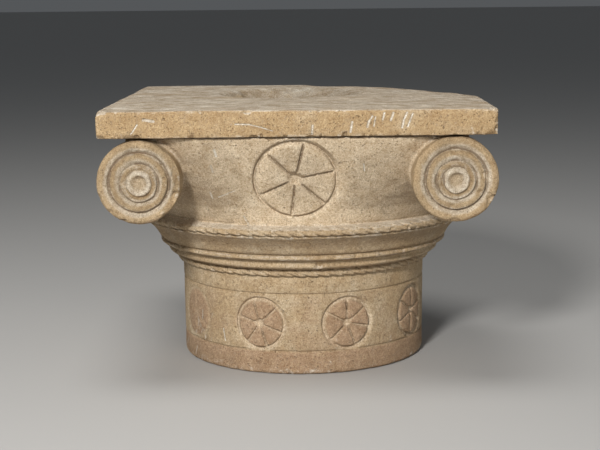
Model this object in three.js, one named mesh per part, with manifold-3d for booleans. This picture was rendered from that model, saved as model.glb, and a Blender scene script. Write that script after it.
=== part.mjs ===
// An ionic capital carved from one block of limestone: a square slab, two bolsters whose ends
// are volutes of plain rings, a round drum with rosettes, roll mouldings and a round neck.
// Millimetres, +Z up. The origin is the centre of the underside, and the front faces -Y.

import * as THREE from "three";
import { mergeVertices } from "three/addons/utils/BufferGeometryUtils.js";
import Module from "manifold-3d";

const wasm = await Module();
wasm.setup();

// ---- Driving dimensions ----

const HEIGHT = 363;
const SLAB = { width: 500, depth: 522, thickness: 34, edge: 2, wornCorner: 5 };
const SLAB_UNDERSIDE = HEIGHT - SLAB.thickness;
// How far parts of the one block run into each other before they are joined.
const OVERLAP = 1;

// The drum's axis lies a little to the right of the slab's.
const AXIS_X = 3;
const ROUND_STEPS = 48;

const NECK = { radius: 172, footRadius: 167, footRound: 5, lowerLine: 31.5, upperLine: 109.5, top: 133 };
const INCISION = { halfWidth: 1.6, depth: 2 };
// A roll's visible part runs from below its middle to above it, in degrees.
const LOWER_ROLL = { radius: 175.6, height: 139.4, thickness: 4.6, from: -75, to: 80 };
const LOWER_FILLET = { radius: 191.5, bottom: 148.5, top: 155 };
const UPPER_FILLET = { radius: 203, bottom: 162, top: 167.5 };
const FILLET_GROOVE = 5;
// How much narrower a fillet is at its foot, how far its face leans out, and its top groove.
const FILLET_SHAPE = { foot: 2, lip: 1, lean: 0.5, grooveDepth: 3, grooveRise: 0.8 };
const CAVETTO = { lowerRadius: 204, lowerHeight: 169.5, upperRadius: 229, upperHeight: 197, sag: 3.5 };
const UPPER_ROLL = { radius: 228.2, height: 202.2, thickness: 4.8, from: -70, to: 80 };
const ROLL_STEPS = 4;
const LEDGE = { innerRadius: 214.5, innerHeight: 210.5, outerHeight: 207.4 };
// The drum is round at its foot. It swells forwards and backwards as it rises, and is almost
// square under the slab. Each level: height, half depth and squareness, 2 being a plain circle.
const ECHINUS = { halfWidth: 216, coreRadius: 206 };
const ECHINUS_LEVELS = [
  [209.5, 216, 2],
  [230, 218, 2.3],
  [255, 225, 2.9],
  [287, 236, 3.9],
  [330, 254, 6],
];

// Each bolster runs from the front to the back under the slab and ends in a ringed disc.
const BOLSTER_LENGTH = 514.8;
const BOLSTER_STEPS = 28;
const BOLSTER_RIM = 24;
const BOLSTER_WAIST = 8;
const BOLSTER_SWELL = 0.7;
const BOLSTER_WEB = { width: 58, setBack: 8, bottom: 300 };
const BOLSTERS = [
  { x: -199.6, z: 272.6, radius: 52.9 },
  { x: 198.6, z: 273.8, radius: 53.9 },
];
// Radius, as a share of the disc's, and depth below its crest: eye, two rings and the rim.
const RING_PROFILE = [
  [0, 3.6],
  [0.11, 3.2],
  [0.185, 0.5],
  [0.26, 4.4],
  [0.385, 0.2],
  [0.475, 4.6],
  [0.62, 0.2],
  [0.735, 5],
  [0.93, 0],
  [1, 3.2],
];

const GREAT_ROSETTE = { radius: 53, groove: 5, petals: 6, eye: 11.5, depth: 4, turn: 14 };
const GREAT_ROSETTE_HEIGHT = 271.5;
const GREAT_ROSETTE_ANGLES = [-1.4, 180];
const NECK_ROSETTE = { radius: 34, groove: 3.4, petals: 6, eye: 7.5, depth: 2.6, turn: 38 };
const NECK_ROSETTE_HEIGHT = 69;
const NECK_ROSETTES = 9;
const NECK_ROSETTE_START = 20.4;
const NECK_ROSETTE_UNEVENNESS = 25;
const ROSETTE_STEPS = 8;
// A petal's outer corners and middle, and its inner corners, as shares of its sector.
const PETAL_RIM = [0.09, 0.5, 0.91];
const PETAL_FOOT = [0.06, 0.94];
// Where a petal starts outside the eye, as a share of the groove's width.
const PETAL_START = 0.8;
// Length of the cutter that sinks a rosette, as a multiple of the rosette's radius.
const ROSETTE_REACH = 2.5;

// The rough hollow sunk in the slab's top. Its floor rises towards the right.
const HOLLOW = { x: -5, y: 70, halfWidth: 112, halfDepth: 116, depth: 22, steps: 18, rise: 0.22 };
// Each level's share of the hollow's width, and of its depth. The first lies above the slab.
const HOLLOW_LEVELS = [
  [1.06, -0.36],
  [1, 0],
  [0.88, 0.62],
  [0.6, 0.95],
  [0.25, 1],
];
// Unevenness of the outline and of each level, and how far the levels' series lie apart.
const HOLLOW_UNEVENNESS = { outline: 0.06, level: 0.015, apart: 31 };

// The slab's back right corner is broken off with the end of the bolster under it. The points
// run along the break on the slab's top, from the back edge to the right edge.
const BREAK_LINE = [
  [6, 268],
  [22, 224],
  [77, 208],
  [145, 157],
  [178, 97],
  [206, 46],
  [232, 10],
  [256, -44],
];
const BREAK_OUT = new THREE.Vector2(0.78, 0.62);
// Height below the slab's top, and how far out the broken face has moved there.
const BREAK_STEPS = [
  [-12, -3],
  [12, 4],
  [34, 13],
  [90, 22],
  [160, 31],
];
const BREAK_ROUGHNESS = { depth: 3, levelsApart: 17, pointsApart: 3 };
// How far beyond the stone the cutter that takes the broken part reaches.
const BREAK_REACH = 420;

// ---- Geometry helpers ----

// A closed mesh as a solid: shared corners merged, and faces that collapsed dropped.
function solidOf(geometry) {
  const bare = geometry.clone();
  bare.deleteAttribute("normal");
  bare.deleteAttribute("uv");
  const merged = mergeVertices(bare, 1e-3);
  const corners = merged.index.array;
  const kept = [];
  for (let i = 0; i < corners.length; i += 3) {
    const [a, b, c] = corners.slice(i, i + 3);
    if (a !== b && b !== c && c !== a) {
      kept.push(a, b, c);
    }
  }
  const vertProperties = merged.attributes.position.array;
  return new wasm.Manifold(
    new wasm.Mesh({ numProp: 3, vertProperties, triVerts: new Uint32Array(kept) }),
  );
}

function geometryOf(solid) {
  const mesh = solid.getMesh();
  const geometry = new THREE.BufferGeometry();
  geometry.setAttribute("position", new THREE.BufferAttribute(mesh.vertProperties, 3));
  geometry.setIndex(new THREE.BufferAttribute(mesh.triVerts, 1));
  const flat = geometry.toNonIndexed();
  flat.computeVertexNormals();
  return flat;
}

// Points on an arc of a profile, from one angle to another in degrees, 0 pointing outwards.
function arc(radius, height, size, from, to, steps) {
  return Array.from({ length: steps + 1 }, (_, i) => {
    const angle = THREE.MathUtils.degToRad(from + ((to - from) * i) / steps);
    return new THREE.Vector2(radius + size * Math.cos(angle), height + size * Math.sin(angle));
  });
}

// A profile of radius and height, turned about the drum's axis.
function turned(profile, steps = ROUND_STEPS) {
  const geometry = new THREE.LatheGeometry(profile, steps, Math.PI / steps);
  geometry.rotateX(Math.PI / 2);
  geometry.translate(AXIS_X, 0, 0);
  return solidOf(geometry);
}

// Outlines of equal length joined into one closed skin, with flat ends.
function loft(rings) {
  const count = rings[0].length;
  const positions = rings.flat().flatMap((p) => [p.x, p.y, p.z]);
  const index = [];
  for (let level = 0; level + 1 < rings.length; level++) {
    for (let i = 0; i < count; i++) {
      const a = level * count + i;
      const b = level * count + ((i + 1) % count);
      index.push(a, b, a + count, b, b + count, a + count);
    }
  }
  const outline = rings[0].map((p) => new THREE.Vector2(p.x, p.y));
  const last = (rings.length - 1) * count;
  for (const [a, b, c] of THREE.ShapeUtils.triangulateShape(outline, [])) {
    index.push(c, b, a, last + a, last + b, last + c);
  }
  const geometry = new THREE.BufferGeometry();
  geometry.setAttribute("position", new THREE.Float32BufferAttribute(positions, 3));
  geometry.setIndex(index);
  return solidOf(geometry);
}

function block(width, depth, height, x, y, z) {
  const geometry = new THREE.BoxGeometry(width, depth, height);
  geometry.translate(x, y, z);
  return solidOf(geometry);
}

// Uneven numbers between -1 and 1 that are the same each time.
function uneven(i) {
  return Math.sin(i * 12.9898 + 4.1) * Math.cos(i * 7.233);
}

// ---- Drum, mouldings and neck ----

function incision(radius, height) {
  return [
    new THREE.Vector2(radius, height - INCISION.halfWidth),
    new THREE.Vector2(radius - INCISION.depth, height),
    new THREE.Vector2(radius, height + INCISION.halfWidth),
  ];
}

function roll({ radius, height, thickness, from, to }) {
  return arc(radius, height, thickness, from, to, ROLL_STEPS);
}

function cavetto() {
  const lower = new THREE.Vector2(CAVETTO.lowerRadius, CAVETTO.lowerHeight);
  const upper = new THREE.Vector2(CAVETTO.upperRadius, CAVETTO.upperHeight);
  const middle = lower.clone().lerp(upper, 0.5);
  middle.x -= CAVETTO.sag;
  middle.y += CAVETTO.sag;
  return new THREE.QuadraticBezierCurve(lower, middle, upper).getPoints(3);
}

// Two square fillets with a hollow between them and a narrow groove above.
function fillets() {
  const lower = LOWER_FILLET;
  const upper = UPPER_FILLET;
  const { foot, lip, lean, grooveDepth, grooveRise } = FILLET_SHAPE;
  return [
    new THREE.Vector2(lower.radius - FILLET_GROOVE - foot, lower.bottom - foot),
    new THREE.Vector2(lower.radius - lip, lower.bottom),
    new THREE.Vector2(lower.radius, lower.top),
    new THREE.Vector2(lower.radius + lean, (lower.top + upper.bottom) / 2),
    new THREE.Vector2(upper.radius - FILLET_GROOVE, upper.bottom - lip),
    new THREE.Vector2(upper.radius, upper.bottom + lip),
    new THREE.Vector2(upper.radius, upper.top),
    new THREE.Vector2(upper.radius - grooveDepth, upper.top + grooveRise),
  ];
}

// The drum between the ledge and the slab, made smaller all round by the inset.
function echinus(inset) {
  const rings = ECHINUS_LEVELS.map(([z, halfDepth, squareness]) =>
    Array.from({ length: ROUND_STEPS }, (_, i) => {
      const angle = (2 * Math.PI * (i + 0.5)) / ROUND_STEPS;
      const along = (value) => Math.sign(value) * Math.abs(value) ** (2 / squareness);
      const x = AXIS_X + (ECHINUS.halfWidth - inset) * along(Math.cos(angle));
      const y = (halfDepth - inset) * along(Math.sin(angle));
      return new THREE.Vector3(x, y, z);
    }),
  );
  return loft(rings);
}

function bodyProfile() {
  const foot = NECK.radius - NECK.footRound;
  return [
    new THREE.Vector2(0, 0),
    new THREE.Vector2(NECK.footRadius, 0),
    ...arc(foot, NECK.footRound, NECK.footRound, -45, 0, 1),
    ...incision(NECK.radius, NECK.lowerLine),
    ...incision(NECK.radius, NECK.upperLine),
    new THREE.Vector2(NECK.radius, NECK.top),
    ...roll(LOWER_ROLL),
    ...fillets(),
    ...cavetto(),
    ...roll(UPPER_ROLL),
    new THREE.Vector2(UPPER_ROLL.radius, LEDGE.outerHeight),
    new THREE.Vector2(LEDGE.innerRadius, LEDGE.innerHeight),
    new THREE.Vector2(ECHINUS.coreRadius, LEDGE.innerHeight + OVERLAP),
    new THREE.Vector2(ECHINUS.coreRadius, SLAB_UNDERSIDE + OVERLAP),
    new THREE.Vector2(0, SLAB_UNDERSIDE + OVERLAP),
  ];
}

// ---- Slab ----

function slab() {
  const x = SLAB.width / 2 - SLAB.edge;
  const y = SLAB.depth / 2 - SLAB.edge;
  const worn = SLAB.wornCorner;
  const outline = new THREE.Shape([
    new THREE.Vector2(-x, -y + worn),
    new THREE.Vector2(-x + worn, -y),
    new THREE.Vector2(x, -y),
    new THREE.Vector2(x, y),
    new THREE.Vector2(-x + worn, y),
    new THREE.Vector2(-x, y - worn),
  ]);
  const geometry = new THREE.ExtrudeGeometry(outline, {
    depth: SLAB.thickness - 2 * SLAB.edge,
    bevelThickness: SLAB.edge,
    bevelSize: SLAB.edge,
    bevelSegments: 1,
  });
  geometry.translate(0, 0, SLAB_UNDERSIDE + SLAB.edge);
  return solidOf(geometry);
}

// The hollow's floor is deepest on the left and rises to the right.
function hollow() {
  const { outline, level: layer, apart } = HOLLOW_UNEVENNESS;
  const rings = HOLLOW_LEVELS.map(([share, down], level) =>
    Array.from({ length: HOLLOW.steps }, (_, i) => {
      const angle = (2 * Math.PI * i) / HOLLOW.steps;
      const wobble = 1 + outline * uneven(i + 1) + layer * uneven(level * apart + i);
      const x = HOLLOW.x + HOLLOW.halfWidth * share * wobble * Math.cos(angle);
      const y = HOLLOW.y + HOLLOW.halfDepth * share * wobble * Math.sin(angle);
      const rise = down > 0 ? 1 - HOLLOW.rise * Math.cos(angle) * share : 1;
      return new THREE.Vector3(x, y, HEIGHT - HOLLOW.depth * down * rise);
    }),
  );
  return loft(rings.reverse());
}

// Everything outside the broken face: a skin whose inner side follows the break.
function breakCutter() {
  const far = BREAK_REACH;
  const { depth, levelsApart, pointsApart } = BREAK_ROUGHNESS;
  const rings = BREAK_STEPS.map(([down, out], level) => {
    const z = HEIGHT - down;
    const face = BREAK_LINE.map(([x, y], i) => {
      const move = out + depth * uneven(level * levelsApart + i * pointsApart);
      return new THREE.Vector3(x + BREAK_OUT.x * move, y + BREAK_OUT.y * move, z);
    });
    return [
      ...face,
      new THREE.Vector3(far, BREAK_LINE.at(-1)[1], z),
      new THREE.Vector3(far, far, z),
      new THREE.Vector3(BREAK_LINE[0][0], far, z),
    ];
  });
  return loft(rings.reverse());
}

// ---- Bolsters ----

function bolster({ x, z, radius }) {
  const end = BOLSTER_LENGTH / 2;
  const face = RING_PROFILE.map(([share, depth]) => new THREE.Vector2(radius * share, depth - end));
  const side = [
    ...face,
    new THREE.Vector2(radius, BOLSTER_RIM - end),
    new THREE.Vector2(radius - BOLSTER_SWELL * BOLSTER_WAIST, -end / 2),
  ];
  const middle = new THREE.Vector2(radius - BOLSTER_WAIST, 0);
  const back = side.map((p) => new THREE.Vector2(p.x, -p.y)).reverse();
  const geometry = new THREE.LatheGeometry([...side, middle, ...back], BOLSTER_STEPS);
  geometry.translate(x, 0, z);
  const webTop = SLAB_UNDERSIDE + SLAB.edge;
  const web = block(
    BOLSTER_WEB.width,
    BOLSTER_LENGTH - 2 * BOLSTER_WEB.setBack,
    webTop - BOLSTER_WEB.bottom,
    x,
    0,
    (webTop + BOLSTER_WEB.bottom) / 2,
  );
  return solidOf(geometry).add(web);
}

// ---- Rosettes ----

// One petal's outline: a sector with its grooves' half widths taken off.
function petalPath({ radius, groove, petals, eye, turn }, petal) {
  const step = (2 * Math.PI) / petals;
  const start = THREE.MathUtils.degToRad(turn) + petal * step;
  const outer = radius - groove;
  const inner = eye + groove * PETAL_START;
  const point = (r, share) => {
    const trim = groove / 2 / r;
    const angle = start + trim + (step - 2 * trim) * share;
    return new THREE.Vector2(r * Math.cos(angle), r * Math.sin(angle));
  };
  const rim = PETAL_RIM.map((share) => point(outer, share));
  return new THREE.Path([point(inner, PETAL_FOOT[0]), ...rim, point(inner, PETAL_FOOT[1])]);
}

// The carved-away part of a rosette: a sunk ring, sunk lines between the petals and a sunk eye,
// down to a core that lies as deep as the rosette's depth below the face.
function rosetteCutter(rosette, core, outermost, height, degrees) {
  const shape = new THREE.Shape();
  shape.absarc(0, 0, rosette.radius, 0, 2 * Math.PI);
  for (let petal = 0; petal < rosette.petals; petal++) {
    shape.holes.push(petalPath(rosette, petal));
  }
  const reach = ROSETTE_REACH * rosette.radius;
  const geometry = new THREE.ExtrudeGeometry(shape, {
    depth: reach,
    bevelEnabled: false,
    curveSegments: ROSETTE_STEPS,
  });
  geometry.rotateX(Math.PI / 2);
  geometry.translate(0, reach / 2 - outermost, height);
  geometry.rotateZ(THREE.MathUtils.degToRad(degrees));
  geometry.translate(AXIS_X, 0, 0);
  return solidOf(geometry).subtract(core);
}

function rosettes() {
  const drumCore = echinus(GREAT_ROSETTE.depth);
  const drumFront = ECHINUS_LEVELS.at(-1)[1];
  const great = GREAT_ROSETTE_ANGLES.map((degrees) =>
    rosetteCutter(GREAT_ROSETTE, drumCore, drumFront, GREAT_ROSETTE_HEIGHT, degrees),
  );
  const coreRadius = NECK.radius - NECK_ROSETTE.depth;
  const coreHeight = 2 * NECK_ROSETTE_HEIGHT;
  const neckCore = turned([
    new THREE.Vector2(0, 0),
    new THREE.Vector2(coreRadius, 0),
    new THREE.Vector2(coreRadius, coreHeight),
    new THREE.Vector2(0, coreHeight),
  ]);
  const round = Array.from({ length: NECK_ROSETTES }, (_, i) => {
    const turn = NECK_ROSETTE.turn + NECK_ROSETTE_UNEVENNESS * uneven(i);
    const degrees = NECK_ROSETTE_START + (360 / NECK_ROSETTES) * i;
    const rosette = { ...NECK_ROSETTE, turn };
    return rosetteCutter(rosette, neckCore, NECK.radius, NECK_ROSETTE_HEIGHT, degrees);
  });
  return [...great, ...round];
}

// ---- The one carved block ----

const stone = new THREE.MeshStandardMaterial({ color: 0xc3ad88, roughness: 0.9, metalness: 0 });

const plainDrum = turned(bodyProfile()).add(echinus(0));
const drum = rosettes().reduce((body, cutter) => body.subtract(cutter), plainDrum);
const carved = BOLSTERS.map(bolster)
  .reduce((body, piece) => body.add(piece), drum)
  .add(slab())
  .subtract(hollow())
  .subtract(breakCutter());

const capital = new THREE.Group();
const blockMesh = new THREE.Mesh(geometryOf(carved), stone);
blockMesh.name = "capital";
capital.add(blockMesh);

export default capital;
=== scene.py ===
"""An ionic capital of weathered limestone: the carved block, its stone finish and a plain studio."""

import math

import bpy
import numpy as np
import openvdb
from mathutils import Matrix, Vector


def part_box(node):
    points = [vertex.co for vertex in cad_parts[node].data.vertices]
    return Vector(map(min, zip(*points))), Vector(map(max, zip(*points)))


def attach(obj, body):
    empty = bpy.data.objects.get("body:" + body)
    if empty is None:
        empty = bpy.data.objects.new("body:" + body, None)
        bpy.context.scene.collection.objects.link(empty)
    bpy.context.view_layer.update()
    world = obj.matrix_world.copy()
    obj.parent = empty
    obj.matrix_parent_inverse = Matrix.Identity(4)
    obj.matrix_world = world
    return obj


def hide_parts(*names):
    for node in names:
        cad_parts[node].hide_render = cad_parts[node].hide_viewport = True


bl_info = {
    "name": "Limestone Ionic Capital",
    "version": (1, 0, 0),
    "blender": (4, 5, 0),
    "location": "3D View > Sidebar > Capital",
    "description": "Carves an ionic capital from one block of limestone and sets it in a studio",
    "category": "Object",
}

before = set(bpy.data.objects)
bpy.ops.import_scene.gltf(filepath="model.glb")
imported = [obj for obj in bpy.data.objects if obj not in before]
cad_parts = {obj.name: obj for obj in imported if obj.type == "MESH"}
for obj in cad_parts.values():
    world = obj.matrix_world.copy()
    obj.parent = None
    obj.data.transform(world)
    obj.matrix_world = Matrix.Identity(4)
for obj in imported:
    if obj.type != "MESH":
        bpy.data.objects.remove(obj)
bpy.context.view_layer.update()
NODE = "capital"
PIECE = "carved_capital"
LOW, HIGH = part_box(NODE)

# The carving is worked in millimetres, and MM turns its result into metres.
MM = 0.001
HEIGHT = HIGH.z / MM
SLAB_HALF_DEPTH = HIGH.y / MM

# ---- Sizes of the carving, in millimetres ----

AXIS_X = 3.0
SLAB_HALF_WIDTH = 250.0
SLAB_UNDERSIDE = HEIGHT - 34.0
NECK_RADIUS = 172.0
BOLSTER_END = 257.4
BOLSTERS = (
    {"x": -199.6, "z": 272.6, "radius": 52.9},
    {"x": 198.6, "z": 273.8, "radius": 53.9},
)
# Radius, as a share of the disc's, and depth below its crest.
RINGS = (
    (0.0, 5.4),
    (0.1, 5.2),
    (0.16, 4.4),
    (0.2, 1.4),
    (0.225, 0.5),
    (0.26, 0.2),
    (0.29, 0.8),
    (0.315, 5.2),
    (0.335, 4.8),
    (0.37, 2.4),
    (0.405, 1.6),
    (0.43, 1.9),
    (0.45, 6.2),
    (0.47, 5.6),
    (0.52, 2.8),
    (0.57, 1.2),
    (0.63, 0.7),
    (0.675, 1.1),
    (0.7, 7.2),
    (0.72, 6.4),
    (0.78, 3.0),
    (0.84, 1.0),
    (0.92, 0.0),
    (0.965, 0.9),
    (1.0, 3.2),
)
# How far the rings' centre lies to the right of the rim's and below it.
RING_SHIFT = (1.4, 3.2)
# Share of the old skin kept on the discs: worn crests and cleanly cut slopes.
RING_SKIN = (
    (0.0, 0.8),
    (0.16, 0.7),
    (0.21, 0.0),
    (0.3, 0.0),
    (0.33, 1.0),
    (0.41, 1.0),
    (0.44, 0.0),
    (0.53, 0.1),
    (0.58, 1.0),
    (0.67, 1.0),
    (0.7, 0.0),
    (0.8, 0.1),
    (0.85, 1.0),
    (1.05, 1.0),
)

# The drum above the ledge is round at its foot, swells forwards and backwards as it rises and is
# almost square under the slab: height, half depth and squareness, 2 being a plain circle.
DRUM_HALF_WIDTH = 216.0
DRUM_FOOT = 209.4
DRUM_LEVELS = (
    (209, 216.0, 2.0),
    (232, 218.3, 2.4),
    (244, 221.6, 2.7),
    (256, 225.2, 3.1),
    (272, 231.0, 3.65),
    (290, 237.0, 4.3),
    (310, 246.0, 5.1),
    (324, 252.0, 5.8),
    (326.5, 252.6, 5.8),
    (328, 246.0, 5.8),
    (340, 246.0, 5.8),
)

# Break across the slab's back right corner, on its top, from the back edge to the right edge.
BREAK_LINE = (
    (-4, 300),
    (10, 246),
    (24, 222),
    (77, 208),
    (118, 176),
    (145, 157),
    (178, 97),
    (206, 46),
    (232, 10),
    (252, -36),
    (262, -70),
)
BREAK_OUT = (0.78, 0.62)
BREAK_LEAN = ((-12, -3), (12, 4), (34, 13), (90, 22), (160, 31))

# The hollow's wall is steep on its left and long on its right, as shares of its half width.
HOLLOW = {"x": -5.0, "y": 70.0, "half_width": 112.0, "half_depth": 116.0}
HOLLOW_WALL = {"left": 0.24, "right": 0.74, "shallower": 0.3}

# The slab's underside rises a little to the right, and its edges are worn round.
SLAB_RISE = 0.0035
SLAB_ROUNDING = {"upright": 2.5, "under": 1.6, "top": 2.4, "uneven": 1.8}
# The plane that the front left corner is rubbed down to: how it leans left, forwards and up.
RUBBED_CORNER = {"left": 0.45, "front": 0.3, "up": 0.84, "depth": 6.2}

# The drum's rosettes: place, the face's slope, groove, eye and the angles of the lines between
# the petals.
GREAT_ROSETTE = {
    "x": -3.3,
    "height": 272.4,
    "slope": 1.045,
    "groove": 4.4,
    "eye": 10.5,
    "lines": (-43, 12, 77, 135, 206, 264),
}
# The side of each cut that looks down to the right is steep, and the other one is gentle.
STEEP_SIDE = math.radians(-45)
CUT_LEAN = 0.6
# The lines' width and depth as shares of the rim's, the eye's depth, and how far all this reaches.
LINE_WIDTH, LINE_DEPTH, EYE_DEPTH = 0.7, 0.92, 1.15
ROSETTE_REACH = 1.4
NECK_ROSETTE_HEIGHT = 69.5
NECK_GROOVE, NECK_EYE = 3.8, 7.0
WORN_DEPTH = 0.25
WORN_ROSETTE = -60
NECK_ROSETTE_LINES = {
    WORN_ROSETTE: (-30, 34, 92, 150, 210, 272),
    -19.7: (-21, 43, 107, 166, 234, 287),
    20.6: (-14, 37, 91, 151, 224, 291),
    61.3: (-34, 22, 88, 146, 202, 262),
}
# The rosettes round the back: how many, the first one's angle and the step between them.
BACK_ROSETTES = {"count": 5, "first": 100.6, "step": 39.8}

# Rope mouldings: height of the roll, radius, the band that the strands cross and its fade.
UPPER_ROPE = {"height": 202.3, "radius": 232, "inner": 225, "middle": 202, "fade": (7.5, 4)}
LOWER_ROPE = {"height": 139.6, "radius": 180, "inner": 172, "middle": 139.6, "fade": (7, 4)}
STRAND_SLANT = 2.1
STRAND_GROOVE = {"depth": 3.0, "sharpness": 2.6}

# From the first of these depths on, the back is left without fine roughness.
PLAIN_BACK = (140, -60)

# The stone that joins each bolster to the slab: half width and how far it stands back.
WEB = {"half_width": 20, "set_back": 40, "bottom": 300}
BOLSTER_FILLET = 9
# The bolsters are cut flat a little below the slab.
BOLSTER_GAP = 2.6


# ---- Uneven numbers and noise ----


class Noise:
    """Smooth random values in space, the same on each run."""

    CELLS = 64

    def __init__(self, seed):
        table = np.random.default_rng(seed).random((self.CELLS,) * 3, dtype=np.float32)
        self.table = (table * 2 - 1).ravel()

    def __call__(self, points, size, stretch=(1, 1, 1)):
        """One octave, from -1 to 1, whose features are about as wide as size."""
        scaled = points * (np.array(stretch, np.float32) / np.float32(size))
        cell = np.floor(scaled).astype(np.int32)
        t = scaled - cell
        t = t * t * (3 - 2 * t)
        n = self.CELLS
        low = cell & (n - 1)
        high = (cell + 1) & (n - 1)
        total = np.zeros(len(points), np.float32)
        for i in (0, 1):
            x = (high if i else low)[:, 0] * (n * n)
            wx = t[:, 0] if i else 1 - t[:, 0]
            for j in (0, 1):
                y = (high if j else low)[:, 1] * n
                wy = wx * (t[:, 1] if j else 1 - t[:, 1])
                for k in (0, 1):
                    z = (high if k else low)[:, 2]
                    wz = wy * (t[:, 2] if k else 1 - t[:, 2])
                    total += wz * self.table[x + y + z]
        return total

    def layered(self, points, size, octaves, fade=0.5, stretch=(1, 1, 1)):
        total = np.zeros(len(points), np.float32)
        share = 1.0
        for octave in range(octaves):
            total += share * self(points + 37.1 * octave, size / 2**octave, stretch)
            share *= fade
        return total


def smooth(low, high, x):
    t = np.clip((x - low) / (high - low), 0, 1)
    return t * t * (3 - 2 * t)


def soft_join(a, b, size):
    """The nearer of two distances, with a fillet of that size where they meet."""
    h = np.clip(0.5 + 0.5 * (b - a) / size, 0, 1)
    return b + (a - b) * h - size * h * (1 - h)


def soft_cut(a, b, size):
    """What both distances hold, with the edge between them rounded by that size."""
    return -soft_join(-a, -b, size)


# ---- Profiles ----


def arc(radius, height, size, start, end, steps=6):
    angles = np.radians(np.linspace(start, end, steps + 1))
    return [(radius + size * math.cos(a), height + size * math.sin(a)) for a in angles]


def curve(start, pull, end, steps=6):
    return [
        tuple(
            (1 - t) ** 2 * s + 2 * t * (1 - t) * p + t * t * e
            for s, p, e in zip(start, pull, end)
        )
        for t in np.linspace(0, 1, steps + 1)
    ]


def drum_profile():
    """Radius and height, from the foot of the neck up to the slab."""
    return [
        (-20, 0),
        (166.5, 0),
        *arc(NECK_RADIUS - 5, 5, 5, -60, 0, 3),
        (NECK_RADIUS - 0.3, 29.6),
        (NECK_RADIUS - 3.2, 31.4),
        (NECK_RADIUS, 33.4),
        (NECK_RADIUS, 107.6),
        (NECK_RADIUS - 3.2, 109.6),
        (NECK_RADIUS + 0.2, 111.4),
        (NECK_RADIUS + 0.6, 132.6),
        (NECK_RADIUS - 0.6, 134.4),
        *arc(175.4, 139.6, 5, -70, 84),
        (178, 145.4),
        (184.5, 146.3),
        (189.5, 148),
        *arc(189.4, 151.8, 2.9, -50, 80, 4),
        *curve((190, 154.9), (190.6, 159.6), (197.5, 160.6)),
        *arc(200.6, 164.2, 2.9, -70, 75, 4),
        (199.6, 167.6),
        (199.4, 168.9),
        (204, 169.6),
        *curve((204.8, 170.4), (212.5, 186.5), (228.2, 196), 8),
        (224.2, 197.4),
        *arc(228, 202.3, 5, -60, 86),
        (226, 207.9),
        (215.4, 210.2),
        (206, 212),
        (206, 336),
        (-20, 336),
    ]


def bolster_profile(radius):
    """Radius and distance from the middle, from one face's centre to the other's."""
    face = [(radius * share, depth - BOLSTER_END) for share, depth in RINGS]
    side = curve((radius, 26 - BOLSTER_END), (radius - 6, -150), (radius - 8, 0), 8)
    half = [(-20, face[0][1]), *face, *side]
    return half + [(r, -y) for r, y in reversed(half)]


class Profile:
    """Distance to a closed outline in a plane, worked out once on a fine grid."""

    STEP = 0.5

    def __init__(self, outline):
        corners = np.array(outline, np.float64)
        self.low = corners.min(0) - 14
        self.low[0] = -6
        size = (corners.max(0) + 14 - self.low) / self.STEP
        nx, ny = (int(math.ceil(s)) + 1 for s in size)
        u, v = np.meshgrid(
            self.low[0] + self.STEP * np.arange(nx),
            self.low[1] + self.STEP * np.arange(ny),
            indexing="ij",
        )
        best = np.full(u.shape, 1e9)
        inside = np.zeros(u.shape, bool)
        for (ax, ay), (bx, by) in zip(corners, np.roll(corners, -1, 0)):
            ex, ey = bx - ax, by - ay
            length = ex * ex + ey * ey
            if length < 1e-9:
                continue
            t = np.clip(((u - ax) * ex + (v - ay) * ey) / length, 0, 1)
            best = np.minimum(best, (u - ax - t * ex) ** 2 + (v - ay - t * ey) ** 2)
            if ay != by:
                crosses = (ay > v) != (by > v)
                inside ^= crosses & (u < ex * (v - ay) / ey + ax)
        self.grid = (np.sqrt(best) * np.where(inside, -1, 1)).astype(np.float32)

    def __call__(self, u, v):
        x = np.clip((u - self.low[0]) / self.STEP, 0, self.grid.shape[0] - 1.001)
        y = np.clip((v - self.low[1]) / self.STEP, 0, self.grid.shape[1] - 1.001)
        i, j = x.astype(np.int32), y.astype(np.int32)
        fx, fy = x - i, y - j
        flat, n = self.grid.ravel(), self.grid.shape[1]
        k = i * n + j
        left = flat[k] * (1 - fy) + flat[k + 1] * fy
        right = flat[k + n] * (1 - fy) + flat[k + n + 1] * fy
        return (left * (1 - fx) + right * fx).astype(np.float32)


# ---- The carved block as a distance field ----


def groove(distance, inner, outer, depth):
    """Depth of a V-shaped groove whose walls are that wide before and after its bottom."""
    t = np.where(distance < 0, -distance / inner, distance / outer)
    return depth * np.clip(1.15 * (1 - t), 0, 1)


def cut_sides(facing, width):
    """Widths of a cut's sides, the first sloping down towards the facing angle."""
    lean = CUT_LEAN * np.cos(facing - STEEP_SIDE)
    return width * (1 - lean), width * (1 + lean)


def rosette_depth(x, y, rosette):
    """How deep a rosette is carved at places across and up from its centre."""
    size, width, depth = rosette["size"], rosette["groove"], rosette["depth"]
    radius = np.hypot(x, y)
    carved = groove(radius - size, *cut_sides(np.arctan2(y, x), width), depth)
    eye = rosette["eye"]
    for line in rosette["lines"]:
        a = math.radians(line)
        along = x * math.cos(a) + y * math.sin(a)
        aside = -x * math.sin(a) + y * math.cos(a)
        wall = LINE_WIDTH * width * np.clip(0.5 + 0.5 * along / size, 0.3, 1)
        held = smooth(eye * 0.4, eye * 0.9, along) * smooth(size + width, size - width, along)
        sides = cut_sides(a + math.pi / 2, wall)
        carved = np.maximum(carved, groove(aside, *sides, depth * LINE_DEPTH) * held)
    bowl = depth * EYE_DEPTH * (1 - smooth(eye * 0.5, eye * 1.1, radius))
    return np.maximum(carved, bowl)


def within(mask, points, measure, elsewhere):
    """A measure of the points that the mask keeps, and a plain value for the others."""
    values = np.full(len(points), elsewhere, np.float32)
    if mask.any():
        values[mask] = measure(points[mask])
    return values


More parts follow.
